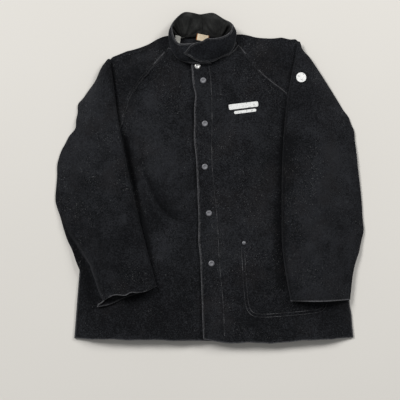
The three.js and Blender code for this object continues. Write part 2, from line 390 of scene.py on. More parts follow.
BODY_FOLDS = [
    # path, height, width on the left, width on the right
    (((-150, 240), (-168, 190), (-176, 130), (-166, 70), (-150, 10), (-126, -64), (-92, -150)), 8, 40, 10),
    (((-219, 150), (-203, 80), (-192, 25), (-184, -12), (-170, -80), (-157, -130)), -9, 11, 9),
    (((-196, 104), (-180, 62), (-168, 4), (-144, -66), (-110, -108)), 6, 9, 7),
    (((-170, 84), (-163, 61), (-154, 6), (-126, -61), (-89, -98), (-44, -110)), -7, 7, 6),
    (((-158, 84), (-146, 30), (-116, -38), (-82, -76), (-44, -90)), 6, 9, 8),
    (((-110, 20), (-92, -16), (-60, -40)), -4, 7, 7),
    (((-130, 150), (-122, 80), (-104, 30)), 3, 12, 12),
    (((-186, -40), (-168, -90), (-148, -150)), 3, 10, 12),
    (((-120, 210), (-112, 90), (-96, -10)), -3.0, 18, 20),
    (((-75, 230), (-84, 60), (-78, -120), (-84, -300)), 2.6, 20, 26),
    (((-140, -120), (-150, -230), (-176, -370)), 3.4, 26, 18),
    (((-230, -240), (-222, -320), (-226, -385)), 2.2, 20, 16),
    (((100, 190), (122, 60), (140, -40)), 3.2, 26, 26),
    (((60, 120), (64, -40), (60, -220)), 2.0, 14, 18),
    (((150, 170), (160, 60), (156, -60), (166, -170)), -4.0, 14, 12),
    (((120, -60), (150, -160), (168, -260)), 2.6, 22, 22),
    (((230, -330), (222, -360), (226, -392)), 2.0, 18, 18),
]
SHOULDER_FOLDS = [
    (((-150, 305), (-196, 262), (-216, 200)), 4, 16, 12),
    (((-120, 330), (-168, 300), (-225, 285)), -2.6, 10, 12),
    (((120, 330), (160, 300), (196, 262)), 3.4, 14, 16),
    (((100, 300), (150, 262), (190, 215)), -2.2, 12, 12),
]
SLEEVE_FOLDS = {
    "right": [
        (((-262, 240), (-296, 130), (-316, 20), (-290, -80), (-236, -200)), 5, 20, 22),
        (((-330, 176), (-296, 160), (-258, 170)), -3.5, 10, 12),
        (((-344, 118), (-306, 96), (-270, 100)), -4.5, 12, 14),
        (((-366, 30), (-322, -20), (-262, -78), (-200, -120)), -5.5, 12, 15),
        (((-358, -50), (-300, -110), (-250, -170), (-205, -250)), 4.5, 12, 18),
        (((-236, 180), (-236, 90), (-222, 10), (-196, -70)), -4, 10, 9),
        (((-225, 60), (-262, 20), (-300, 20)), -3.4, 9, 9),
        (((-216, -60), (-226, -130), (-206, -200)), 3, 10, 12),
    ],
    "left": [
        (((192, -100), (197, -190), (206, -280)), 5, 8, 9),
        (((216, -110), (221, -190), (226, -285)), -5, 9, 12),
        (((214, -60), (252, -112), (318, -128)), -5, 11, 12),
        (((232, -20), (282, -70), (346, -92)), 4.5, 14, 14),
        (((238, 270), (262, 180), (270, 60)), 3.5, 22, 24),
        (((300, 150), (318, 40), (310, -60)), -3.8, 14, 16),
        (((250, -180), (280, -230), (286, -290)), 3.6, 14, 14),
        (((190, 120), (216, 60), (246, 40)), -3.0, 10, 12),
    ],
}


def add_folds(obj, folds):
    raise_by(obj, fold_heights(points_of(obj), folds))


def nudge(points, nudges):
    """Moves points in plan: each nudge is (place, step, radius) in mm, and fades with distance."""
    for place, (dx, dy), radius in nudges:
        share = bell(plan_distance(points, place), radius * MM)
        points[:, 0] += dx * MM * share
        points[:, 1] += dy * MM * share


def nudge_sheet(obj, nudges):
    points = points_of(obj)
    nudge(points, nudges)
    set_points(obj, points)


def add_leather_waves(obj, seed, large=1.1, small=0.25):
    heights = (large, small * 1.6, small * 0.5)
    raise_by(obj, leather_ripples(points_of(obj), heights, (seed, seed + 5, seed + 9)))


# ---------------- materials


class Nodes:
    """A short way to write a node tree."""

    def __init__(self, name):
        self.material = bpy.data.materials.new(name)
        self.material.use_nodes = True
        self.tree = self.material.node_tree
        self.shader = self.tree.nodes["Principled BSDF"]
        self.rest = self.value("rest_co", "Vector")

    def add(self, kind, inputs=None, **settings):
        node = self.tree.nodes.new(kind)
        for key, value in settings.items():
            setattr(node, key, value)
        for key, value in (inputs or {}).items():
            if hasattr(value, "is_output"):
                self.tree.links.new(value, node.inputs[key])
            else:
                node.inputs[key].default_value = value
        return node

    def value(self, name, output="Fac"):
        return self.add("ShaderNodeAttribute", attribute_name=name).outputs[output]

    def stretched(self, scale, turn=0):
        inputs = {"Vector": self.rest, "Scale": scale, "Rotation": (0, 0, turn)}
        return self.add("ShaderNodeMapping", inputs).outputs["Vector"]

    def noise(self, scale, detail=3.0, roughness=0.6, distortion=0.0, vector=None):
        inputs = {"Scale": scale, "Detail": detail, "Roughness": roughness, "Distortion": distortion}
        return self.add("ShaderNodeTexNoise", {"Vector": vector or self.rest, **inputs}).outputs["Fac"]

    def wave(self, direction, **inputs):
        inputs = {name.replace("_", " "): value for name, value in inputs.items()}
        settings = {"wave_type": "BANDS", "bands_direction": direction}
        return self.add("ShaderNodeTexWave", {"Vector": self.rest, **inputs}, **settings).outputs["Fac"]

    def between(self, value, low, high, out_low=0.0, out_high=1.0):
        inputs = {"Value": value, "From Min": low, "From Max": high, "To Min": out_low, "To Max": out_high}
        return self.add("ShaderNodeMapRange", inputs, interpolation_type="SMOOTHSTEP").outputs["Result"]

    def math(self, operation, a, b):
        return self.add("ShaderNodeMath", {0: a, 1: b}, operation=operation).outputs["Value"]

    def times(self, a, b):
        return self.math("MULTIPLY", a, b)

    def total(self, first, *others):
        for other in others:
            first = self.math("ADD", first, other)
        return first

    def mix(self, factor, a, b):
        """Mixes two colours, each a socket or red, green and blue."""
        inputs = {6: a, 7: b}
        for index, value in inputs.items():
            if isinstance(value, tuple):
                inputs[index] = (*value, 1.0)
        return self.add("ShaderNodeMix", {0: factor, **inputs}, data_type="RGBA").outputs[2]

    def bump(self, height, strength, distance):
        inputs = {"Height": height, "Strength": strength, "Distance": distance}
        self.wire(self.add("ShaderNodeBump", inputs).outputs["Normal"], "Normal")

    def colour(self, factor, dark, light):
        self.wire(self.mix(factor, dark, light), "Base Color")

    def wire(self, socket, name):
        self.tree.links.new(socket, self.shader.inputs[name])

    def fix(self, **values):
        for name, value in values.items():
            self.shader.inputs[name.replace("_", " ")].default_value = value


def suede(name, dark, light, dust=0.5, patch_low=0.42, patch_high=0.66):
    """Napped split leather: brushed patches, fine fuzz, lint, pale rubbed edges, and the dust, painted light
    and painted shade that the tone attribute carries.
    """
    n = Nodes(name)
    patches = n.noise(6.0, 4.0, 0.6, 0.6)
    clouds = n.noise(30.0, 5.0, 0.6, 0.5)
    strokes = n.noise(1.0, 4.0, 0.6, 0.4, vector=n.stretched((150, 52, 90), 0.5))
    flecks = n.noise(300.0, 4.0, 0.72, 0.4)
    fuzz = n.noise(760.0, 3.0, 0.7)
    tone = n.total(
        n.between(patches, patch_low, patch_high, 0.1, 0.4),
        n.value("tone"),
        n.between(clouds, 0.3, 0.75, -0.06, 0.26),
        n.between(strokes, 0.3, 0.75, -0.04, 0.16),
        n.between(flecks, 0.36, 0.68, -0.28, 0.58),
        n.between(fuzz, 0.35, 0.7, -0.1, 0.22),
    )
    colour = n.mix(n.between(tone, -0.1, 1.1), dark, light)
    brown = n.between(n.noise(11.0), 0.52, 0.7, 0.0, 0.35)
    colour = n.mix(brown, colour, (light[0] * 0.66, light[1] * 0.56, light[2] * 0.5))
    lint = n.between(n.noise(520.0, 1.5, 0.5), 0.675, 0.73)
    where = n.between(n.noise(13.0), 0.42, 0.62, 0.1, 1.0)
    colour = n.mix(n.times(n.times(lint, where), dust), colour, (0.2, 0.2, 0.2))
    n.colour(n.times(n.value("rub"), n.between(flecks, 0.34, 0.6, 0.3, 1.0)), colour, (0.1, 0.1, 0.104))
    n.bump(n.total(fuzz, n.times(flecks, 2.2), n.times(strokes, 1.2)), 0.55, 0.7 * MM)
    n.fix(Roughness=0.95, Specular_IOR_Level=0.1, Sheen_Weight=0.06, Sheen_Roughness=0.5)
    n.fix(Sheen_Tint=(0.75, 0.77, 0.85, 1.0))
    return n.material


def twill(name, dark, light):
    """Cotton twill: fine diagonal ribs over a faded ground."""
    n = Nodes(name)
    ribs = n.wave("DIAGONAL", Scale=330.0, Distortion=1.2, Detail=2.0, Detail_Scale=1.5)
    fade = n.noise(42.0, 4.0)
    slub = n.noise(1.0, 2.0, vector=n.stretched((420, 1500, 900)))
    tone = n.total(n.between(fade, 0.35, 0.7, 0.0, 0.7), n.times(ribs, 0.28))
    tone = n.total(tone, n.between(slub, 0.4, 0.7, -0.1, 0.2))
    n.colour(n.between(tone, 0.0, 1.1), dark, light)
    n.bump(n.total(ribs, slub), 0.5, 0.4 * MM)
    n.fix(Roughness=0.9, Specular_IOR_Level=0.2, Sheen_Weight=0.15, Sheen_Roughness=0.4)
    return n.material


def metal(name, bright, dull, roughness):
    """Plated metal with hairline scratches and dull spots."""
    n = Nodes(name)
    spots = n.noise(420.0, 4.0)
    hairs = n.noise(1.0, 2.0, 0.5, vector=n.stretched((2600, 300, 900), 0.6))
    n.colour(n.between(spots, 0.42, 0.68), bright, dull)
    n.wire(n.between(spots, 0.4, 0.7, roughness, roughness + 0.24), "Roughness")
    n.bump(n.total(hairs, spots), 0.12, 0.2 * MM)
    n.fix(Metallic=1.0)
    return n.material


def thread(name, colour, faded):
    """Twisted sewing thread, worn pale in places."""
    n = Nodes(name)
    twist = n.noise(2600.0, 1.0, 0.5)
    tone = n.total(n.between(n.noise(60.0, 4.0), 0.4, 0.66), n.between(twist, 0.3, 0.7, -0.2, 0.2))
    n.colour(n.between(tone, 0.0, 1.0), colour, faded)
    n.bump(twist, 0.4, 0.2 * MM)
    n.fix(Roughness=0.8, Specular_IOR_Level=0.25)
    return n.material


def woven(name, ground, shade, scale=900.0):
    """Plain woven cloth: warp and weft under a soft stain."""
    n = Nodes(name)
    warp, weft = (n.wave(direction, Scale=scale / 6, Distortion=0.6) for direction in "XY")
    weave = n.times(warp, weft)
    tone = n.total(n.between(n.noise(90.0), 0.35, 0.7, 0.0, 0.6), n.times(weave, 0.4))
    n.colour(n.between(tone, 0.0, 1.0), shade, ground)
    n.bump(weave, 0.4, 0.3 * MM)
    n.fix(Roughness=0.88, Specular_IOR_Level=0.2)
    return n.material


def printed(name, ground, bare):
    """Screen print that has cracked and rubbed off in places."""
    n = Nodes(name)
    cracks = n.noise(700.0, 4.0, 0.7, 1.5)
    loss = n.total(n.between(cracks, 0.54, 0.62, 0.0, 0.7), n.between(n.noise(160.0), 0.56, 0.68, 0.0, 0.5))
    n.colour(loss, ground, bare)
    n.bump(cracks, 0.4, 0.3 * MM)
    n.fix(Roughness=0.75, Specular_IOR_Level=0.25)
    return n.material


FLOOR_LOW = (0.67, 0.645, 0.6)
FLOOR_HIGH = (0.71, 0.685, 0.64)


def floor_material():
    n = Nodes("pale_surface")
    place = n.add("ShaderNodeTexCoord").outputs["Object"]
    n.colour(n.noise(1.4, 2.0, 0.5, vector=place), FLOOR_LOW, FLOOR_HIGH)
    n.fix(Roughness=0.9, Specular_IOR_Level=0.1)
    return n.material


BODY_SUEDE = suede("body_suede", (0.0022, 0.0024, 0.003), (0.0178, 0.0189, 0.0217))
SLEEVE_SUEDE = suede("sleeve_suede", (0.002, 0.0022, 0.0028), (0.0162, 0.0172, 0.0198), 0.6, 0.4, 0.64)
COLLAR_SUEDE = suede("collar_suede", (0.0032, 0.0036, 0.0046), (0.0168, 0.0184, 0.0218), 0.4)
RAW_SUEDE = suede("raw_suede", (0.012, 0.012, 0.013), (0.04, 0.04, 0.041), 0.3)
LINING_TWILL = twill("lining_twill", (0.006, 0.0061, 0.0058), (0.0265, 0.0268, 0.0255))
POCKET_CLOTH = woven("pocket_cloth", (0.3, 0.26, 0.2), (0.16, 0.14, 0.11))
LABEL_CLOTH = woven("label_cloth", (0.78, 0.68, 0.52), (0.6, 0.48, 0.33), 1300.0)
LABEL_BORDER = woven("label_border", (0.4, 0.17, 0.055), (0.26, 0.1, 0.03), 1300.0)
TAG_CLOTH = woven("tag_cloth", (0.7, 0.69, 0.64), (0.5, 0.49, 0.45), 1500.0)
GUNMETAL = metal("gunmetal", (0.25, 0.25, 0.265), (0.17, 0.17, 0.18), 0.62)
# a paler metal for the throat snap's cap alone: a painted highlight
HIGHLIGHT_METAL = metal("painted_highlight_metal", (0.8, 0.79, 0.76), (0.45, 0.44, 0.42), 0.3)
BRASS = metal("tarnished_brass", (0.5, 0.42, 0.27), (0.2, 0.16, 0.1), 0.42)
THREAD = thread("grey_thread", (0.03, 0.03, 0.032), (0.14, 0.14, 0.145))
DARK_THREAD = thread("dark_thread", (0.012, 0.012, 0.013), (0.045, 0.045, 0.048))
LINT_PRINT = printed("pale_print", (0.78, 0.78, 0.76), (0.03, 0.03, 0.034))


DUST_LIGHT_AND_SHADE = [  # positive amounts: pale dust, with painted light on raised parts; negative amounts: painted shade in creases, beside the sleeves and towards the hem and cuffs. Place, radius, amount
    ((-292, 190), 40, 0.1),
    ((-308, 67), 45, 0.16),
    ((-242, -39), 34, 0.16),
    ((-210, -100), 20, 0.14),
    ((-144, 190), 38, 0.24),
    ((-104, 84), 50, 0.18),
    ((-87, -6), 45, 0.12),
    ((-120, -194), 30, 0.08),
    ((92, 67), 70, 0.06),
    ((272, 149), 42, 0.1),
    ((296, 51), 55, 0.2),
    ((248, -88), 46, 0.2),
    ((264, -267), 45, 0.08),
    ((-185, 247), 50, -0.28),
    ((-200, 165), 30, -0.16),
    ((-186, 100), 20, -0.1),
    ((-185, -341), 90, -0.22),
    ((-291, -300), 50, -0.2),
    ((-60, -300), 60, -0.1),
    ((182, -365), 90, -0.16),
    ((305, -349), 50, -0.16),
    ((158, 288), 50, -0.16),
    ((196, 100), 26, -0.16),
    ((194, 26), 28, -0.2),
    ((194, -50), 28, -0.2),
    ((198, -130), 28, -0.2),
    ((-202, -218), 45, -0.12),
    ((-308, -96), 36, -0.14),
    ((60, -365), 60, -0.08),
    ((-150, -90), 34, -0.12),
    ((-150, 40), 22, -0.1),
]


PAINTED_SHADE_LINES = [  # painted shade along creases and beside the sleeves' inner edges: path, width, amount
    (((-214, 120), (-203, 80), (-192, 25), (-184, -12), (-166, -90), (-150, -150), (-134, -230)), 5, -0.75),
    (((-208, 110), (-196, 70), (-186, 25), (-176, -20)), 10, -0.35),
    (((-170, 84), (-163, 61), (-154, 6), (-126, -61), (-89, -98), (-44, -110)), 5, -0.34),
    (((190, 200), (181, 120), (176, 20), (175, -80), (177, -180), (194, -290)), 5, -0.7),
    (((196, 110), (190, 20), (186, -50)), 13, -0.3),
    (((166, -40), (164, -120), (166, -200), (174, -290)), 11, -0.4),
    (((-372, -70), (-340, -150), (-312, -200), (-280, -285)), 9, -0.4),
    (((-241, 285), (-232, 220), (-226, 165)), 6, -0.35),
]
SCUFFS = [  # short pale scuffs: path, width, amount
    (((-207, -84), (-201, -110)), 4, 0.5),
    (((-215, -92), (-208, -108)), 3, 0.35),
    (((-244, 0), (-229, -11)), 5, 0.5),
    (((-131, -188), (-110, -197)), 5, 0.5),
    (((336, 8), (344, -14)), 5, 0.6),
    (((290, 173), (302, 168)), 4, 0.45),
    (((328, -54), (335, -61)), 4, 0.5),
    (((233, -155), (248, -170)), 6, 0.35),
    (((75, 244), (93, 234)), 3, 0.3),
    (((-155, 175), (-126, 192)), 9, 0.25),
    (((280, 90), (306, 40)), 14, 0.2),
]


RUB_REACH = 1.6 * MM  # how far in from its cut edge a sheet is rubbed pale


def finish_piece(obj, material, rub_from=None, wear=1.0):
    """Material, slot, smooth shading, and the attributes that the materials read."""
    obj.data.materials.clear()
    obj.data.materials.append(material)
    obj.data.polygons.foreach_set("material_index", [0] * len(obj.data.polygons))
    obj.data.polygons.foreach_set("use_smooth", [True] * len(obj.data.polygons))
    points = points_of(obj)
    rub = np.zeros(len(points))
    if rub_from:
        rub = wear * bell(distances(points, kd_tree(rub_from)), RUB_REACH)
    write_attribute(obj, "rest_co", "FLOAT_VECTOR", "vector", points)
    write_attribute(obj, "rub", "FLOAT", "value", rub)
    write_attribute(obj, "tone", "FLOAT", "value", tone_at(points))
    return obj


def write_attribute(obj, name, kind, field, values):
    attribute = obj.data.attributes.new(name, kind, "POINT")
    attribute.data.foreach_set(field, np.asarray(values, dtype=np.float32).ravel())


def tone_at(points):
    """How much paler or darker the nap is at each point: dust and scuffs, painted light on raised parts, and
    painted shade in creases and beside the sleeves.
    """
    tone = np.zeros(len(points))
    for place, radius, amount in DUST_LIGHT_AND_SHADE:
        tone += amount * bell(plan_distance(points, place), radius * MM)
    for path, width, amount in PAINTED_SHADE_LINES + SCUFFS:
        signed, share = along_path(points, path)
        tone += amount * fade_at_ends(share, 0.15) * bell(signed, width * MM)
    return tone


# ---------------- seams and stitches


def border_sides(obj):
    """The sides of a sheet's border, cut at its corners: lists of (point, inward direction)."""
    bm = bmesh.new()
    bm.from_mesh(obj.data)
    rim = {v for v in bm.verts if v.is_boundary}
    corners = {v for v in rim if len(v.link_edges) == 2}
    sides, used = [], set()
    for start in sorted(corners or list(rim)[:1], key=lambda v: v.index):
        for edge in start.link_edges:
            if not edge.is_boundary or edge in used:
                continue
            run, vert = [start], start
            while True:
                used.add(edge)
                vert = edge.other_vert(vert)
                run.append(vert)
                onward = [e for e in vert.link_edges if e.is_boundary and e not in used]
                if vert in corners or not onward:
                    break
                edge = onward[0]
            sides.append([(v.co.copy(), inward_at(v)) for v in run])
    bm.free()
    return sides


def inward_at(vert):
    middle = middle_of(f.calc_center_median() for f in vert.link_faces)
    along = Vector()
    for edge in vert.link_edges:
        if edge.is_boundary:
            step = edge.other_vert(vert).co - vert.co
            along = step if along.length == 0 else along - step
    inward = middle - vert.co
    if along.length > 0:
        along.normalize()
        inward -= along * inward.dot(along)
    return inward.normalized() if inward.length > 0 else Vector((0, 0, 1))


def side_near(sides, point):
    """The side whose nearest point is closest to that place, in plan."""
    place = Vector((point[0] * MM, point[1] * MM))
    return min(sides, key=lambda side: min((p.xy - place).length for p, _ in side))


def inset(side, distance):
    """Points that far in from a border side, smoothed."""
    points = [p + inward * distance for p, inward in side]
    for _ in range(3):
        middle = [(a + 2 * b + c) / 4 for a, b, c in zip(points, points[1:], points[2:])]
        points = [points[0], *middle, points[-1]]
    return points


def surface_of(mesh):
    """A search tree over the surface of a mesh."""
    corners = [v.co.copy() for v in mesh.vertices]
    return BVHTree.FromPolygons(corners, [list(p.vertices) for p in mesh.polygons])


def hit_below(tree, point):
    return tree.ray_cast(Vector((point[0], point[1], 0.3)), Vector((0, 0, -1)))


def drop_on(tree, points):
    """The points of a plan path, dropped on to a surface from above."""
    hits = [hit_below(tree, p) for p in points]
    return [(hit[0], hit[1]) for hit in hits if hit[0] is not None]


def settle_on(tree, points):
    """The nearest surface points to a path in space."""
    hits = [tree.find_nearest(p) for p in points]
    return [(hit[0], hit[1]) for hit in hits if hit[0] is not None]


def evenly(path, pitch):
    """(point, direction, normal) at even steps along a path of (point, normal)."""
    out, left = [], pitch * 0.5
    for (a, na), (b, nb) in zip(path, path[1:]):
        step = b - a
        length = step.length
        if length < 1e-7:
            continue
        while left <= length:
            t = left / length
            out.append((a + step * t, step / length, na.lerp(nb, t).normalized()))
            left += pitch
        left -= length
    return out


def turns(sides):
    return [2 * math.pi * k / sides for k in range(sides)]


def ring_faces(rings, sides):
    """Quads between one ring of points and the next."""
    return [
        (ring * sides + k, ring * sides + after, (ring + 1) * sides + after, (ring + 1) * sides + k)
        for ring in range(rings - 1)
        for k, after in zip(range(sides), [*range(1, sides), 0])
    ]


def stitch_shape(sides=6):
    """One stitch lying along X: a thread that dives into the leather at both ends."""
    rings = [(-0.5, 0.3, -0.9), (-0.36, 0.95, 0.1), (0.0, 1.0, 0.42), (0.36, 0.95, 0.1), (0.5, 0.3, -0.9)]
    points = []
    for x, swell, rise in rings:
        for turn in turns(sides):
            across, up = swell * math.cos(turn), swell * math.sin(turn) + rise
            points.append((x * STITCH_LENGTH, THREAD_RADIUS * across, THREAD_RADIUS * up))
    first, last = range(sides), range((len(rings) - 1) * sides, len(rings) * sides)
    return np.array(points), [*ring_faces(len(rings), sides), tuple(reversed(first)), tuple(last)]


STITCH_POINTS, STITCH_FACES = stitch_shape()


def stitching(name, paths, seed=1, missing=0.012, material=None):
    """A row of stitches along each path of (point, normal), as one piece."""
    draw = random.Random(seed)
    points, faces = [], []
    for path in paths:
        for place, ahead, normal in evenly(path, STITCH_PITCH):
            if draw.random() < missing:
                continue
            across = normal.cross(ahead).normalized()
            frame_axes = np.array([ahead, across, normal])
            skew = draw.uniform(-0.05, 0.05)
            shape = STITCH_POINTS.copy()
            shape[:, 1] += shape[:, 0] * skew
            base = len(points)
            points += list(shape @ frame_axes + np.array(place))
            faces += [[base + i for i in face] for face in STITCH_FACES]
    obj = object_of(name, points, faces)
    return finish_piece(obj, material or THREAD)


# ---------------- leather pieces


def cut_edge_points(obj):
    return [p for side in border_sides(obj) for p, _ in side]


def sheet_piece(
    obj, nodes, material, thick=LEATHER, rounded=True, wear=1.0, body=None
):
    """Finishes a sculpted sheet: thickness, cut edges, material, the nodes that it stands for, which it
    hides, and the body that it rides, if one is given."""
    rim = cut_edge_points(obj)
    thicken(obj, thick)
    if rounded:
        round_rim(obj)
    finish_piece(obj, material, rub_from=rim, wear=wear)
    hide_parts(*nodes)
    if body:
        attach(obj, body)


RIGHT_HEM = {-290: -1.6, -236: 1.4, -196: -1.5, -128: 1.3}  # how uneven the hem is: place, step in mm
LEFT_HEM = {-88: -1.4, 96: 1.6, 150: -1.5, 226: 1.6, 300: -1.2}
HEM = [((345, -305), (-5, 0), 22), ((352, -390), (3, 0), 26), ((170, -398), (0, -3), 60)]
HEM += [((x, -398), (0, step), 13) for x, step in RIGHT_HEM.items()]
HEM += [((x, -400), (0, step), 14) for x, step in LEFT_HEM.items()]


NECK_HALF = 96 * MM
NAPE_RISE = 17 * MM  # the back reaches up behind the collar by this
NAPE_FROM, NAPE_OVER = 296 * MM, 24 * MM


def make_back():
    obj = sheet_of("back_leather", ["back_panel"])
    points = points_of(obj)
    at_neck = np.abs(points[:, 0] + 15 * MM) < NECK_HALF
    points[:, 1] += NAPE_RISE * smoothstep((points[:, 1] - NAPE_FROM) / NAPE_OVER) * at_neck
    nudge(points, HEM)
    set_points(obj, points)
    sheet_piece(obj, ["back_panel"], BODY_SUEDE, body="jacket_body")


def make_right_front():
    nodes = ["right_front_panel"]
    obj = sheet_of("right_front_leather", nodes)
    nudge_sheet(obj, HEM)
    drape_front(obj, 11)
    sheet_piece(obj, nodes, BODY_SUEDE, body="jacket_body")


FRONT_NECK = [((46, 284), (0, 13), 24), ((10, 283), (0, 6), 24)]
PLACKET_EDGE = [((-37, 201), (5, 0), 20), ((-33, 96), (-3.5, 0), 34), ((-27, -150), (-3, 0), 30)]


def make_left_front():
    nodes = ["left_front_panel", "front_placket"]
    obj = sheet_of("left_front_leather", nodes, weld=0.6 * MM)
    nudge_sheet(obj, FRONT_NECK + HEM + PLACKET_EDGE)
    drape_front(obj, 17)
    sides = border_sides(obj)
    sheet_piece(obj, nodes, BODY_SUEDE)
    fold_blend(obj)
    return obj, sides


SNAP_HOLD = 9.5 * MM  # radius of leather that a snap presses down
SNAP_DENT = 0.5 * MM


def drape_front(obj, seed):
    """Folds and waves of a front panel, which lie still where the snaps hold the leather."""
    before = points_of(obj)
    add_folds(obj, BODY_FOLDS)
    add_leather_waves(obj, seed)
    after = points_of(obj)
    held = np.ones(len(after))
    for name in SNAP_NAMES:
        low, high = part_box(f"snap_cap_{name}")
        distance = plan_distance(after, (low + high) / 2 / MM)
        held *= 1 - bell(distance**2, (SNAP_HOLD * 1.2) ** 2)
        before[:, 2] -= SNAP_DENT * bell(distance**2, SNAP_HOLD**2)
    after[:, 2] = before[:, 2] + (after[:, 2] - before[:, 2]) * held
    set_points(obj, after)


def fold_blend(obj):
    """Bakes the piece's transform into its mesh."""
    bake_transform(obj)


def wrapped_sheet(name, upper, lower, open_side):
    """One sheet from the top of one node and the underside of another with the same outline, joined round
    the border, except along the plan points of the open side."""
    open_tree = kd_tree(open_side)
    merged = bmesh.new()
    borders = []
    for node, keep in ((upper, faces_up), (lower, faces_down)):
        part = loose_faces(node, keep)
        made = {vert: merged.verts.new(vert.co) for vert in part.verts}
        for face in part.faces:
            merged.faces.new([made[v] for v in face.verts])
        rim = [edge for edge in part.edges if edge.is_boundary]
        borders.append([tuple(made[v] for v in edge.verts) for edge in rim])
        part.free()
    under = sorted({v for pair in borders[1] for v in pair}, key=lambda v: (v.co.x, v.co.y))
    tree = kd_tree([(v.co.x, v.co.y, 0) for v in under])
    for a, b in borders[0]:
        if all(open_tree.find((v.co.x, v.co.y, 0))[2] < 1 * MM for v in (a, b)):
            continue
        c, d = (under[tree.find((v.co.x, v.co.y, 0))[1]] for v in (a, b))
        merged.faces.new((a, b, d, c) if c != d else (a, b, c))
    bmesh.ops.recalc_face_normals(merged, faces=merged.faces)
    return subdivide(object_from(merged, name), 3)


def faces_outward(obj):
    """Turns a wrapped sheet so that its upper side faces up."""
    low = min(obj.data.polygons, key=lambda p: p.center.z)
    if low.normal.z > 0:
        obj.data.flip_normals()
    return obj


def plan_border(node):
    bm = loose_faces(node, faces_up)
    points = [Vector((v.co.x, v.co.y, 0)) for v in bm.verts if v.is_boundary]
    bm.free()
    return points


SEAM_LAP = 8 * MM  # the shoulder's edge laps over the front by this
SEAM_REACH = 34 * MM
LAP_LIFT = 2.2 * MM


def raglan_line(side):
    """Plan points of the seam between shoulder and front, from the armhole to the neck."""
    tree = kd_tree(plan_border(f"{side}_front_panel"))
    near = [p for p in plan_border(f"{side}_shoulder_front") if tree.find(p)[2] < 4 * MM]
    return sorted(near, key=lambda p: p.y)


def lap_direction(seam, side):
    """Unit vector in plan across the raglan seam, from the shoulder towards the front."""
    run = (seam[-1] - seam[0]).normalized()
    return Vector((run.y, -run.x, 0)) * -SIDES[side]


SHOULDER_OUTLINE = [((-122, 336), (0, 7), 26), ((-165, 318), (0, 3), 26), ((84, 344), (0, 5), 18)]
SHOULDER_OUTLINE += [((-110, 340), (9, 4), 14), ((76, 346), (-12, 2), 15)]
SHOULDER_CORNER = [((216, 333), (-1, 6), 14), ((230, 312), (-5, 0), 14)]  # on the left side


def make_shoulder(side):
    """The shoulder of a raglan sleeve: its front, round the shoulder edge, and its back."""
    seam = raglan_line(side)
    seam_tree = kd_tree(seam)
    nodes = [f"{side}_shoulder_front", f"{side}_shoulder_back"]
    obj = faces_outward(wrapped_sheet(f"{side}_shoulder_leather", *nodes, seam))
    towards = lap_direction(seam, side)
    points = points_of(obj)
    top_of_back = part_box(nodes[1])[1].z
    for i, (x, y, z) in enumerate(points):
        if z < top_of_back:
            continue
        share = smoothstep(1 - seam_tree.find((x, y, 0))[2] / SEAM_REACH)
        points[i] += np.array(towards * SEAM_LAP) * share
        points[i, 2] += LAP_LIFT * share
    nudge(points, SHOULDER_OUTLINE + SHOULDER_CORNER)
    set_points(obj, points)
    add_folds(obj, SHOULDER_FOLDS)
    add_leather_waves(obj, 23 + SIDES[side], 0.7)
    lift_to_floor(obj)
    material = SLEEVE_SUEDE if side == "right" else BODY_SUEDE
    sheet_piece(obj, nodes, material, wear=0.12)
    lift_to_floor(obj)
    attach(obj, "jacket_body")
    return obj


def lift_to_floor(obj, floor=0.05 * MM):
    points = points_of(obj)
    points[:, 2] = np.maximum(points[:, 2], floor)
    set_points(obj, points)


SLEEVE_INNER = {
    "right": [(-241, 290), (-225, 165), (-209, 80), (-190, -12), (-168, -104), (-150, -175), (-127, -263)],
    "left": [(217, 329), (194, 225), (180, 120), (175, 20), (174, -80), (176, -180), (196, -300)],
}
CUFF_STRIP = [(-376, -60), (-352, -110), (-338, -137), (-315, -170), (-287, -210)]
CUFF_STRIP += [(-272, -255), (-259, -302)]
INNER_LOFT, INNER_LOFT_WIDTH = 7 * MM, 34 * MM  # the sleeve stands up along its inner edge
STRIP_EDGE = 7 * MM  # width of the step down to the flat strip behind the right cuff's ridge
STRIP_HEIGHT, STRIP_DROP = 6 * MM, 0.62
STRIP_RIDGE, STRIP_RIDGE_WIDTH = 4 * MM, 8 * MM


SLEEVE_OUTLINE = {
    "right": [
        ((-262, 268), (-3, 3), 26),
        ((-298, 205), (-4, 2), 24),
        ((-312, 178), (-9, 3), 17),
        ((-336, 124), (8, -2), 17),
        ((-362, 66), (-4, 2), 20),
        ((-366, 36), (-6, 0), 24),
        ((-372, -60), (-4, 0), 26),
        ((-340, -180), (3, 2), 26),
    ],
    "left": [
        ((352, 116), (4, 2), 18),
        ((340, 148), (4, 1), 16),
        ((372, -130), (5, 0), 22),
        ((360, -178), (6, 0), 34),
    ],
}
RIGHT_CUFF_TOP = [((-236, -300), (4, 15), 30), ((-186, -284), (-3, 5), 11), ((-152, -272), (1, -3), 18)]
RIGHT_CUFF_UNDER = [((-240, -300), (-2, -7), 36), ((-180, -284), (-2, -3), 16)]


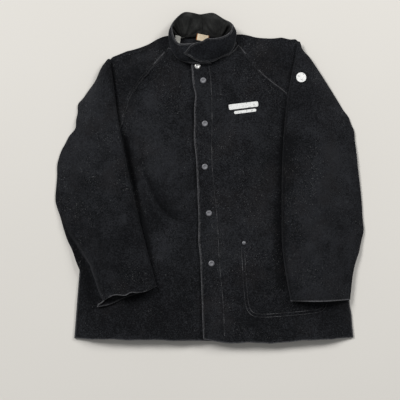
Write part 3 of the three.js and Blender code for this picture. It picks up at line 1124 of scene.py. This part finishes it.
def make_sleeve(side):
    """A flattened sleeve: one tube of leather, open at the cuff."""
    nodes = [f"{side}_top_sleeve", f"{side}_under_sleeve"]
    obj = faces_outward(wrapped_sheet(f"{side}_sleeve_leather", *nodes, cuff_line(nodes[0])))
    points = points_of(obj)
    is_top = smoothstep(normals_of(obj)[:, 2] / 0.5)
    heights = fold_heights(points, SLEEVE_FOLDS[side])
    heights += leather_ripples(points, (1.3, 0.45, 0.14), np.array((31, 37, 41)) + SIDES[side])
    inner, down_share = along_path(points, SLEEVE_INNER[side])
    heights += INNER_LOFT * bell(inner, INNER_LOFT_WIDTH) * smoothstep(down_share / 0.12)
    if side == "right":
        signed, share = along_path(points, CUFF_STRIP)
        drop = smoothstep(-signed / STRIP_EDGE) * smoothstep(share / 0.12)
        heights -= np.maximum(points[:, 2] - STRIP_HEIGHT, 0) * STRIP_DROP * drop
        heights += STRIP_RIDGE * bell(signed - STRIP_EDGE, STRIP_RIDGE_WIDTH) * smoothstep(share / 0.2)
    above = smoothstep((points[:, 2] - under_height(points, nodes[1])) / (4 * MM))
    points[:, 2] += heights * above
    nudge(points, SLEEVE_OUTLINE[side] + SHOULDER_CORNER)
    if side == "right":
        for share, nudges in ((is_top, RIGHT_CUFF_TOP), (1 - is_top, RIGHT_CUFF_UNDER)):
            moved = points.copy()
            nudge(moved, nudges)
            points += (moved - points) * share[:, None]
    set_points(obj, points)
    lift_to_floor(obj)
    sheet_piece(obj, nodes, SLEEVE_SUEDE, wear=1.9)
    lift_to_floor(obj)
    sleeve_blend(obj, side)
    return obj


def sleeve_blend(obj, side):
    """Bakes the piece's transform into its mesh; the cuff line and its middle that it finds are not used."""
    cuff = cuff_line(f"{side}_top_sleeve")
    middle = middle_of(cuff)
    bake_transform(obj)


def under_height(points, node):
    """Height of the top of a CAD sheet under each point."""
    tree = surface_of(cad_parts[node].data)
    found = [hit_below(tree, p)[0] for p in points]
    return np.array([p[2] if hit is None else hit.z for p, hit in zip(points, found)])


def cuff_line(node):
    """Plan points of a sleeve's lowest border side."""
    obj = object_from(loose_faces(node, faces_up), "part")
    sides = border_sides(obj)
    bpy.data.objects.remove(obj)
    lowest = min(sides, key=lambda side: sum(p.y for p, _ in side) / len(side))
    return [Vector((p.x, p.y, 0)) for p, _ in lowest]


def make_collar():
    """Leather outside and twill inside, as a right and a left piece that overlap at the throat."""
    pieces = {}
    for part, nodes in {"right": ["collar_right"], "left": ["collar_left", "collar_tab"]}.items():
        outer = band_sheet(f"{part}_collar_leather", nodes, True, 3)
        wave_along_normal(outer, 51 + SIDES[part], 0.8, 30)
        outer_sides = border_sides(outer)
        sheet_piece(outer, nodes, COLLAR_SUEDE, 2 * MM)
        inner_nodes = [f"{node}_lining" for node in nodes]
        inner = band_sheet(f"{part}_collar_twill", inner_nodes, False, 3)
        wrinkle_lining(inner, 61 + SIDES[part])
        sheet_piece(inner, inner_nodes, LINING_TWILL, LINING, False)
        for obj in (outer, inner):
            collar_ride(obj, part)
        pieces[part] = (outer, outer_sides)
    return pieces


def collar_ride(obj, part):
    if part == "right":
        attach(obj, "jacket_body")
    else:
        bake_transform(obj)


def wave_along_normal(obj, seed, height, size):
    points = points_of(obj)
    waves = ripples(points, size, height, seed)
    set_points(obj, points + normals_of(obj) * waves[:, None])


PUCKER_BASE = 1.4 * MM
PUCKERS = [(5 * MM, 6.5, 9, 0.3), (1.5 * MM, 17, 30, 1.7)]  # height, rate round the neck, rate upwards, seed
PUCKER_INSET = 12 * MM


def wrinkle_lining(obj, seed):
    """Upright puckers in the collar's lining, deepest halfway up the band."""
    points = points_of(obj)
    centre = points.mean(0)
    turn = np.arctan2(points[:, 1] - centre[1], points[:, 0] - centre[0])
    lift = PUCKER_BASE
    for height, around, up, at in PUCKERS:
        spots = [Vector((t * around + seed, p[1] * up, at)) for t, p in zip(turn, points)]
        lift = lift + height * np.array([noise.noise(spot) for spot in spots])
    lift *= smoothstep(distances(points, kd_tree(cut_edge_points(obj))) / PUCKER_INSET)
    set_points(obj, points + normals_of(obj) * lift[:, None])


# ---------------- facing, pocket, labels and prints


def make_facing():
    nodes, rests_on = ["placket_facing"], ["right_front_leather"]
    obj = sheet_of("placket_facing_leather", nodes, levels=2)
    nudge_sheet(obj, PLACKET_EDGE)
    sheet_piece(obj, nodes, RAW_SUEDE, 1.5 * MM, body="front_flap")


def make_pocket_bag():
    nodes, rests_on = ["pocket_bag"], ["left_front_leather"]
    obj = sheet_of("pocket_bag_cloth", nodes)
    add_leather_waves(obj, 71, 1.4, 0.4)
    thick = 0.9 * MM
    sheet_piece(obj, nodes, POCKET_CLOTH, thick, body="jacket_body")


def tag_sheet(node, material, flat, curl, shift, turn=0, border=0):
    """A small label near its CAD block, a little curled, with woven borders of that width at its ends."""
    obj = sheet_of(f"{node}_cloth", [node], levels=4)
    points = points_of(obj)
    centre = points.mean(0)
    height = points[:, 1].max() - points[:, 1].min()
    points[:, 1] = centre[1] + (points[:, 1] - centre[1]) * flat[1] * MM / height
    low, high = points.min(0), points.max(0)
    across = (points[:, 0] - low[0]) / (high[0] - low[0])
    up = (points[:, 1] - low[1]) / (high[1] - low[1])
    points[:, 2] += curl * MM * (np.sin(across * 5.0) * 0.35 + up**2 * 1.0)
    set_points(obj, points)
    sheet_piece(obj, [node], material, 0.5 * MM, rounded=False)
    if border:
        obj.data.materials.append(LABEL_BORDER)
        for face in obj.data.polygons:
            edge = min(face.center.x - low[0], high[0] - face.center.x)
            face.material_index = int(edge < border * MM)
    spin = np.array(Matrix.Rotation(math.radians(turn), 3, "Z"))
    set_points(obj, (points_of(obj) - centre) @ spin.T + centre + np.array((*shift, 0)) * MM)
    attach(obj, "jacket_body")


def patch(name, tree, centre, half, corner, tilt, material, steps=28, height=0.25 * MM):
    """A thin printed shape on a surface: a rectangle with round corners, turned by tilt degrees. In mm."""
    turn = math.radians(tilt)
    points = []
    for j in range(steps + 1):
        for i in range(steps + 1):
            x, y = squircle(2 * i / steps - 1, 2 * j / steps - 1, half, corner)
            px = centre[0] + x * math.cos(turn) - y * math.sin(turn)
            py = centre[1] + x * math.sin(turn) + y * math.cos(turn)
            place, normal = drop_on(tree, [(px * MM, py * MM)])[0]
            points.append(place + normal * height)
    obj = object_of(name, points, grid_faces(steps))
    thicken(obj, height * 2)
    return finish_piece(obj, material)


def squircle(u, v, half, corner):
    """Maps the square -1..1 on to a rectangle with round corners of that radius."""
    x, y = u * half[0], v * half[1]
    inner_x, inner_y = half[0] - corner, half[1] - corner
    over_x, over_y = max(abs(x) - inner_x, 0), max(abs(y) - inner_y, 0)
    reach = math.hypot(over_x, over_y)
    if reach > 0 and over_x > 0 and over_y > 0:
        square = max(over_x, over_y) / reach
        over_x, over_y = over_x * square, over_y * square
        x = math.copysign(inner_x + over_x, x)
        y = math.copysign(inner_y + over_y, y)
    return x, y


def make_prints(left_front, left_sleeve):
    """Plain shapes where the jacket is printed: two bars on the chest and a dot on the sleeve."""
    tree = surface_of(left_front.data)
    for name, centre, half in (
        ("chest_print_upper", (83, 176), (36, 6.5)),
        ("chest_print_lower", (87, 162), (27, 3.6)),
    ):
        obj = patch(name, tree, centre, half, min(3.2, half[1] * 0.9), 7, LINT_PRINT)
        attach(obj, "jacket_body")
    obj = patch("sleeve_print", surface_of(left_sleeve.data), (222, 243), (12, 12), 11.5, 0, LINT_PRINT)
    sleeve_blend(obj, "left")


# ---------------- snaps and rivets


CAP = [(0, 1.55), (1.4, 1.62), (3.0, 1.95), (4.2, 2.3), (5.2, 2.36), (6.1, 2.05), (6.9, 1.35)]
CAP += [(7.35, 0.7), (7.5, 0.1), (7.45, -0.5), (6.6, -0.7), (0, -0.7)]
SOCKET = [(0, 1.5), (2.9, 1.5), (3.2, 1.1), (3.3, 0.2), (3.8, -0.05), (4.4, 0.1), (5.0, 0.7), (5.7, 0.9)]
SOCKET += [(5.8, 1.5), (5.7, 2.5), (0, 2.6)]
STUD = [(0, 2.4), (1.6, 2.35), (2.7, 2.1), (3.05, 1.7), (2.75, 1.25), (2.6, 0.95), (3.2, 0.75), (4.9, 0.65)]
STUD += [(5.2, 0.4), (5.15, 0.0), (0, -0.2)]
POST = [(0, 1.2), (5.2, 1.15), (5.4, 0.9), (4.9, 0.35), (4.0, 0.05), (2.6, 0.0), (2.3, 0.5), (0, 0.6)]
RIVET = [(0, 1.62), (1.6, 1.56), (2.8, 1.3), (3.8, 0.85), (4.35, 0.35), (4.45, 0.0), (4.3, -1.2), (0, -1.2)]


def turned(name, profile, centre, z, material, segments=64):
    """A round metal piece from (radius, height) pairs in mm, smoothed, standing at a place."""
    profile = rounded_profile(profile)
    circle = [(math.cos(turn), math.sin(turn)) for turn in turns(segments)]
    points = [(radius * x, radius * y, height) for radius, height in profile[1:-1] for x, y in circle]
    faces = [tuple(reversed(face)) for face in ring_faces(len(profile) - 2, segments)]
    top = len(points)
    last = top - segments
    points += [(0, 0, profile[0][1]), (0, 0, profile[-1][1])]
    for k in range(segments):
        after = (k + 1) % segments
        faces += [(top, k, after), (last + after, last + k, top + 1)]
    placed = [(centre[0] + x * MM, centre[1] + y * MM, z + h * MM) for x, y, h in points]
    obj = object_of(name, placed, faces)
    return finish_piece(obj, material)


def rounded_profile(profile):
    """One corner-cutting pass over a profile, which keeps its ends."""
    out = [profile[0]]
    for (r0, z0), (r1, z1) in zip(profile, profile[1:]):
        out.append((r0 * 0.75 + r1 * 0.25, z0 * 0.75 + z1 * 0.25))
        out.append((r0 * 0.25 + r1 * 0.75, z0 * 0.25 + z1 * 0.75))
    out.append(profile[-1])
    return out


def make_hardware():
    kinds = {
        "snap_cap": (CAP, GUNMETAL, "gunmetal", "front_flap"),
        "snap_socket": (SOCKET, BRASS, "brass", "front_flap"),
        "snap_stud": (STUD, BRASS, "brass", "jacket_body"),
        "snap_post": (POST, GUNMETAL, "gunmetal", "jacket_body"),
    }
    for kind, (profile, material, slot_name, body) in kinds.items():
        for name in SNAP_NAMES:
            # the throat snap's cap gets the paler metal as a painted highlight
            shine = HIGHLIGHT_METAL if (kind, name) == ("snap_cap", "throat") else material
            metal_piece(f"{kind}_{name}", profile, shine, body)
    for name in ("inner", "outer"):
        metal_piece(f"pocket_rivet_{name}", RIVET, GUNMETAL, "jacket_body")
        metal_piece(f"pocket_burr_{name}", POST, BRASS, "jacket_body")


def metal_piece(node, profile, material, body):
    low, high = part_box(node)
    obj = turned(f"{node}_metal", profile, (low + high) / 2, low.z, material)
    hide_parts(node)
    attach(obj, body)


# ---------------- rows of stitches


PLACKET_LINE = [(-2, 283), (5, 226), (7, 141), (5, 43), (12, -31), (20, -104), (24, -214)]
PLACKET_LINE += [(34, -300), (37, -386)]
POCKET_LINE = [(78, -170), (80, -212), (84, -276), (88, -312), (97, -331), (117, -340), (180, -336)]
POCKET_LINE += [(264, -328), (280, -321), (287, -305)]
CURVE_STEP = 2.5 * MM
EDGE_ROW = 3.8 * MM  # rows of stitches, measured in from an edge
COLLAR_ROW = 4.0 * MM
SEAM_ROWS = (2.6 * MM, 8.2 * MM)
POCKET_ROWS_APART = 7.5 * MM


def plan_curve(path, unit=1.0):
    """A smooth plan curve through a few points, in short steps."""
    points = [Vector((x * unit, y * unit, 0)) for x, y in path]
    for _ in range(3):
        cut = [points[0]]
        for a, b in zip(points, points[1:]):
            cut += [a.lerp(b, 0.25), a.lerp(b, 0.75)]
        points = [*cut, points[-1]]
    out = [points[0]]
    for p in points[1:]:
        while (p - out[-1]).length > CURVE_STEP:
            out.append(out[-1] + (p - out[-1]).normalized() * CURVE_STEP)
    return out


def beside(path, distance):
    """A plan curve moved to its left by a distance."""
    out = []
    for a, b in zip(path, path[1:]):
        ahead = (b - a).normalized()
        out.append(a + Vector((-ahead.y, ahead.x, 0)) * distance)
    return out


def make_front_stitching(left, left_sides):
    tree = surface_of(left.data)
    edge = side_near(left_sides, (-29, -31))
    paths = [inset(edge, EDGE_ROW), plan_curve(PLACKET_LINE, MM)]
    obj = stitching("placket_stitching", [drop_on(tree, path) for path in paths], 3)
    fold_blend(obj)
    pocket = plan_curve(POCKET_LINE, MM)
    rows = [drop_on(tree, pocket), drop_on(tree, beside(pocket, POCKET_ROWS_APART))]
    obj = stitching("pocket_stitching", rows, 4)
    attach(obj, "jacket_body")


def make_raglan_stitching(shoulders):
    rows = []
    for side, obj in shoulders.items():
        tree = surface_of(obj.data)
        seam = raglan_line(side)
        for distance in SEAM_ROWS:
            shift = lap_direction(seam, side) * (SEAM_LAP - distance)
            path = plan_curve([p.xy + shift.xy for p in seam])
            rows.append(drop_on(tree, path))
    obj = stitching("raglan_stitching", rows, 6, material=DARK_THREAD)
    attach(obj, "jacket_body")


def make_collar_stitching(collar):
    for part, (outer, sides) in collar.items():
        tree = surface_of(outer.data)
        rows = [settle_on(tree, inset(side, COLLAR_ROW)) for side in sides if len(side) > 6]
        obj = stitching(f"{part}_collar_stitching", rows, 8 + SIDES[part])
        collar_ride(obj, part)


# ---------------- everything


def build():
    make_back()
    make_right_front()
    left, left_sides = make_left_front()
    shoulders = {side: make_shoulder(side) for side in SIDES}
    sleeves = {side: make_sleeve(side) for side in SIDES}
    collar = make_collar()
    make_facing()
    make_pocket_bag()
    tag_sheet("neck_label", LABEL_CLOTH, (31, 17), 2.2, (1, -2), turn=-14, border=2.6)
    tag_sheet("size_tag", TAG_CLOTH, (15, 20), 3.0, (-4, 9))
    make_hardware()
    make_prints(left, sleeves["left"])
    make_front_stitching(left, left_sides)
    make_raglan_stitching(shoulders)
    make_collar_stitching(collar)


build()


# ---------------- floor, light and camera


def make_floor():
    size, steps = 6.0, 24
    places = [size * (i / steps - 0.5) for i in range(steps + 1)]
    points = [(x, y, 0) for y in places for x in places]
    floor = object_of("pale_floor", points, grid_faces(steps))
    floor.location.z = -0.2 * MM
    floor.data.materials.append(floor_material())


def make_light(name, place, aim, power, size):
    light = bpy.data.lights.new(name, "AREA")
    light.energy = power
    light.shape = "DISK"
    light.size = size
    obj = bpy.data.objects.new(name, light)
    bpy.context.scene.collection.objects.link(obj)
    obj.location = place
    obj.rotation_euler = (Vector(aim) - Vector(place)).to_track_quat("-Z", "Y").to_euler()


def make_world(strength):
    world = bpy.data.worlds.new("studio")
    world.use_nodes = True
    background = world.node_tree.nodes["Background"]
    background.inputs["Color"].default_value = (0.97, 0.985, 1.0, 1.0)
    background.inputs["Strength"].default_value = strength
    bpy.context.scene.world = world


VIEW_ACROSS = 0.974  # metres of the jacket's plane that the view takes in
CAMERA_HEIGHT = 2.6
CAMERA_AIM = Vector((-0.0228, -0.0535, 0.02))


def make_camera():
    data = bpy.data.cameras.new("camera")
    data.sensor_width = 36
    data.lens = 36 * (CAMERA_HEIGHT - CAMERA_AIM.z) / VIEW_ACROSS
    camera = bpy.data.objects.new("camera", data)
    bpy.context.scene.collection.objects.link(camera)
    camera.location = (CAMERA_AIM.x, CAMERA_AIM.y, CAMERA_HEIGHT)
    bpy.context.scene.camera = camera


make_floor()
make_world(0.27)
make_light("key", (-4.6, 4.2, 5.5), (0, 0, 0), 545, 3.2)
make_light("fill", (2.8, 2.6, 2.8), (0, 0, 0), 110, 1.6)
make_camera()
bpy.context.scene.view_settings.view_transform = "Standard"
